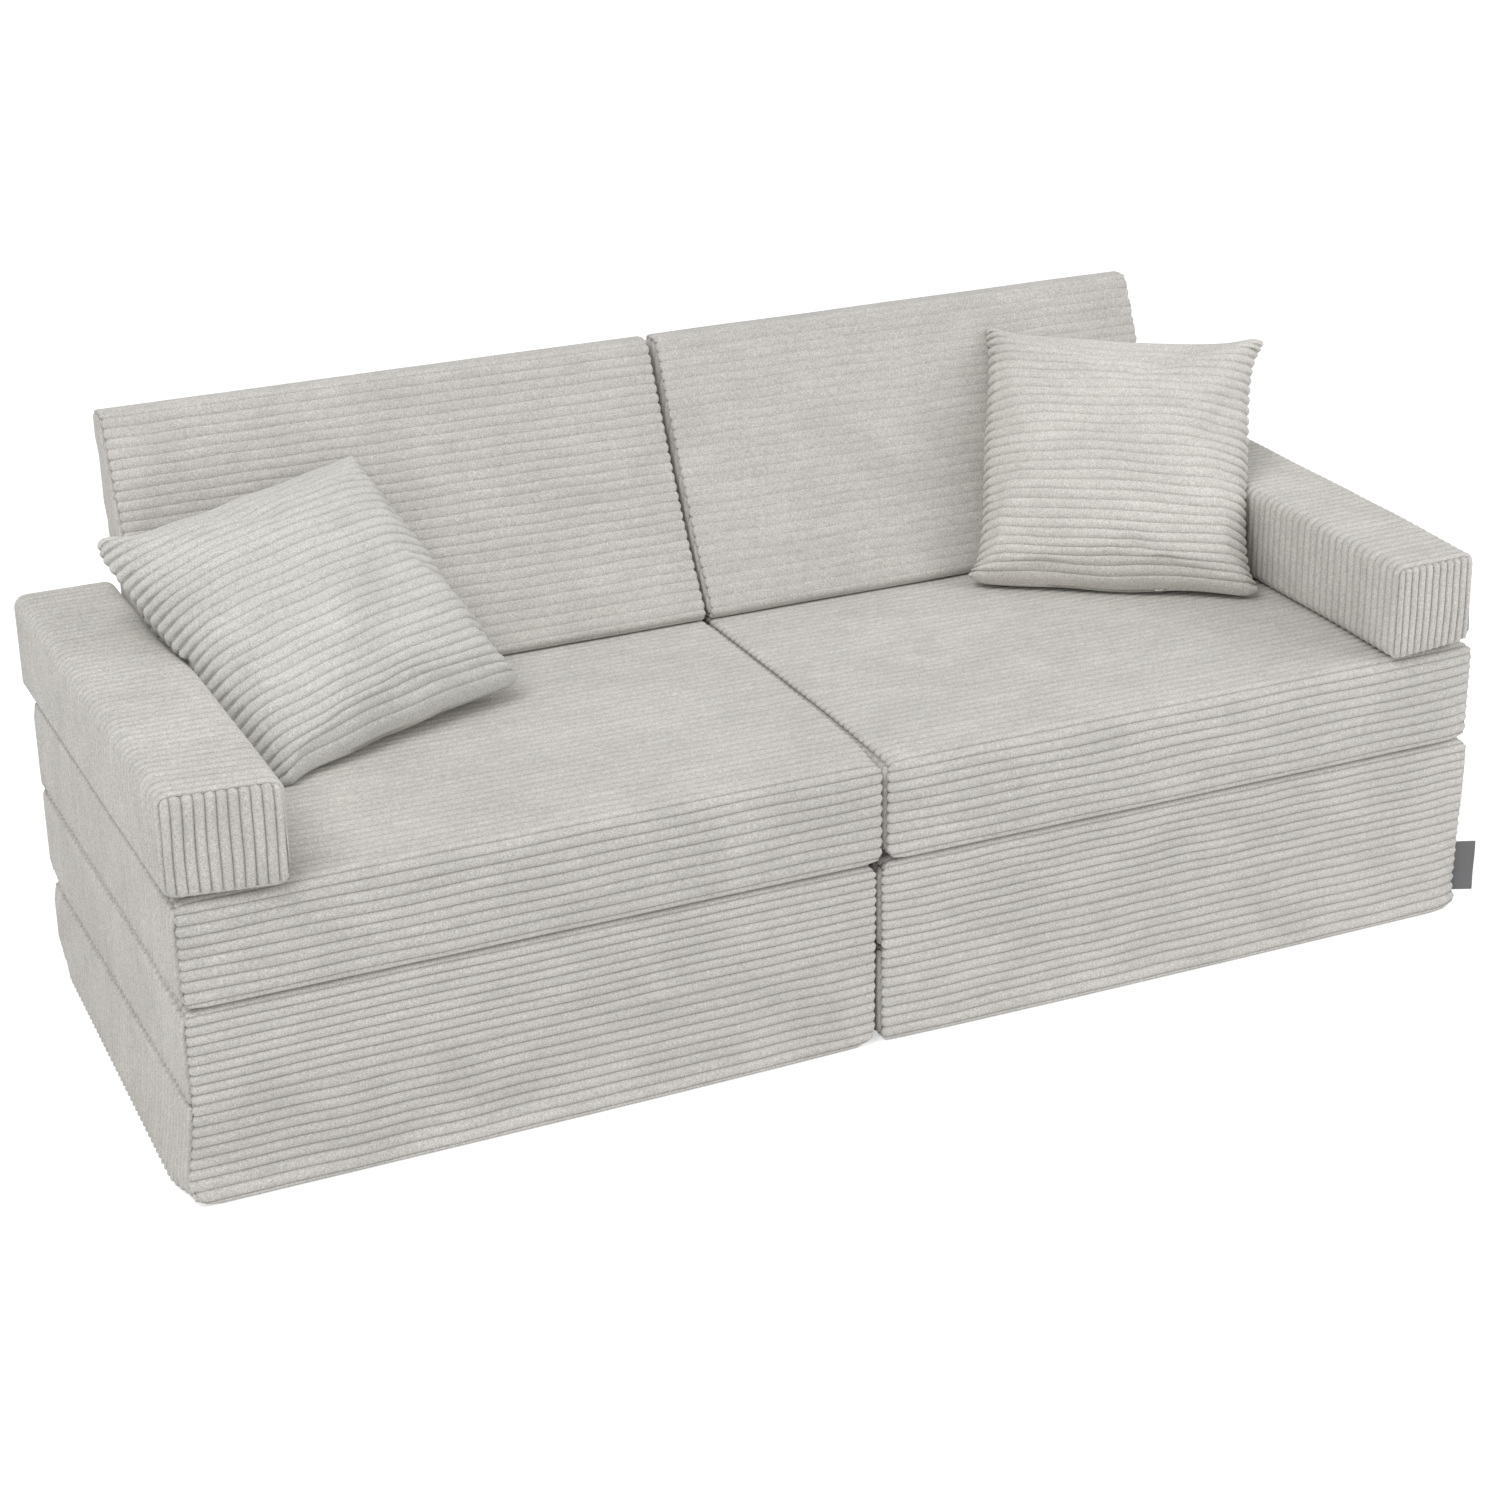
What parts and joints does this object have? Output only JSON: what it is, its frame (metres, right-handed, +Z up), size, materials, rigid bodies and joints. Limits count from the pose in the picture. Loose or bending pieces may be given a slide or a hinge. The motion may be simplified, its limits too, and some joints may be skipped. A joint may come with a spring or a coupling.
{
  "type": "fold-out play sofa",
  "caption": "Low corduroy foam sofa for children: folded foam mattresses side by side, each with a wedge backrest, a box armrest and a loose square pillow.",
  "frame": {"origin": "on the floor under the middle of the sofa, between its two halves", "axes": "+X along the sofa to the sitter's left, which is the right end seen from the front, +Y towards the backrests, +Z up"},
  "size_m": [1.4254, 0.579, 0.5899],
  "materials": {
    "cloth": "matte",
    "pillow": "matte",
    "foam": "matte",
    "zip": "matte",
    "label": "satin"
  },
  "bodies": {
    "left_base": {"left_lower_foam": "foam", "left_lower_cover": "cloth", "left_lower_zip": "zip", "left_front_hinge_lower": "cloth"},
    "left_middle": {"left_middle_foam": "foam", "left_middle_cover": "cloth", "left_middle_zip": "zip", "left_front_hinge_upper": "cloth", "left_rear_hinge_lower": "cloth"},
    "left_seat": {"left_seat_foam": "foam", "left_seat_cover": "cloth", "left_seat_zip": "zip", "left_rear_hinge_upper": "cloth"},
    "left_backrest": {"left_back_foam": "foam", "left_back_cover": "cloth", "left_back_zip": "zip"},
    "left_armrest": {"left_arm_foam": "foam", "left_arm_cover": "cloth", "left_arm_zip": "zip"},
    "left_pillow": {"left_pillow_fill": "foam", "left_pillow_cover": "pillow", "left_pillow_zip": "zip"},
    "right_base": {"right_lower_foam": "foam", "right_lower_cover": "cloth", "right_lower_zip": "zip", "right_front_hinge_lower": "cloth", "label": "label"},
    "right_middle": {"right_middle_foam": "foam", "right_middle_cover": "cloth", "right_middle_zip": "zip", "right_front_hinge_upper": "cloth", "right_rear_hinge_lower": "cloth"},
    "right_seat": {"right_seat_foam": "foam", "right_seat_cover": "cloth", "right_seat_zip": "zip", "right_rear_hinge_upper": "cloth"},
    "right_backrest": {"right_back_foam": "foam", "right_back_cover": "cloth", "right_back_zip": "zip"},
    "right_armrest": {"right_arm_foam": "foam", "right_arm_cover": "cloth", "right_arm_zip": "zip"},
    "right_pillow": {"right_pillow_fill": "foam", "right_pillow_cover": "pillow", "right_pillow_zip": "zip"}
  },
  "joints": [
    {"name": "right_half_aside", "type": "slide", "parent": "left_base", "child": "right_base", "axis": [1, 0, 0], "range_m": [0, 0.3]},
    {"name": "left_fold", "type": "hinge", "parent": "left_base", "child": "left_middle", "pos_m": [-0.35, -0.2893, 0.10315], "axis": [1, 0, 0], "range_deg": [0, 180]},
    {"name": "left_seat_fold", "type": "hinge", "parent": "left_middle", "child": "left_seat", "pos_m": [-0.35, 0.2513, 0.20645], "axis": [1, 0, 0], "range_deg": [-180, 0]},
    {"name": "left_backrest_lift", "type": "slide", "parent": "left_seat", "child": "left_backrest", "axis": [0, 0.5, 0.866], "range_m": [0, 0.3]},
    {"name": "left_armrest_aside", "type": "slide", "parent": "left_seat", "child": "left_armrest", "axis": [-1, 0, 0], "range_m": [0, 0.12]},
    {"name": "left_pillow_lift", "type": "slide", "parent": "left_seat", "child": "left_pillow", "axis": [0, 0, 1], "range_m": [0, 0.25]},
    {"name": "right_fold", "type": "hinge", "parent": "right_base", "child": "right_middle", "pos_m": [0.35, -0.2893, 0.10315], "axis": [1, 0, 0], "range_deg": [0, 180]},
    {"name": "right_seat_fold", "type": "hinge", "parent": "right_middle", "child": "right_seat", "pos_m": [0.35, 0.2513, 0.20645], "axis": [1, 0, 0], "range_deg": [-180, 0]},
    {"name": "right_backrest_lift", "type": "slide", "parent": "right_seat", "child": "right_backrest", "axis": [0, 0.5, 0.866], "range_m": [0, 0.3]},
    {"name": "right_armrest_aside", "type": "slide", "parent": "right_seat", "child": "right_armrest", "axis": [1, 0, 0], "range_m": [0, 0.12]},
    {"name": "right_pillow_lift", "type": "slide", "parent": "right_seat", "child": "right_pillow", "axis": [0, 0, 1], "range_m": [0, 0.25]}
  ],
  "couplings": [
    {"joint": "left_seat_fold", "follows": "left_fold", "ratio": -1},
    {"joint": "right_seat_fold", "follows": "right_fold", "ratio": -1}
  ]
}
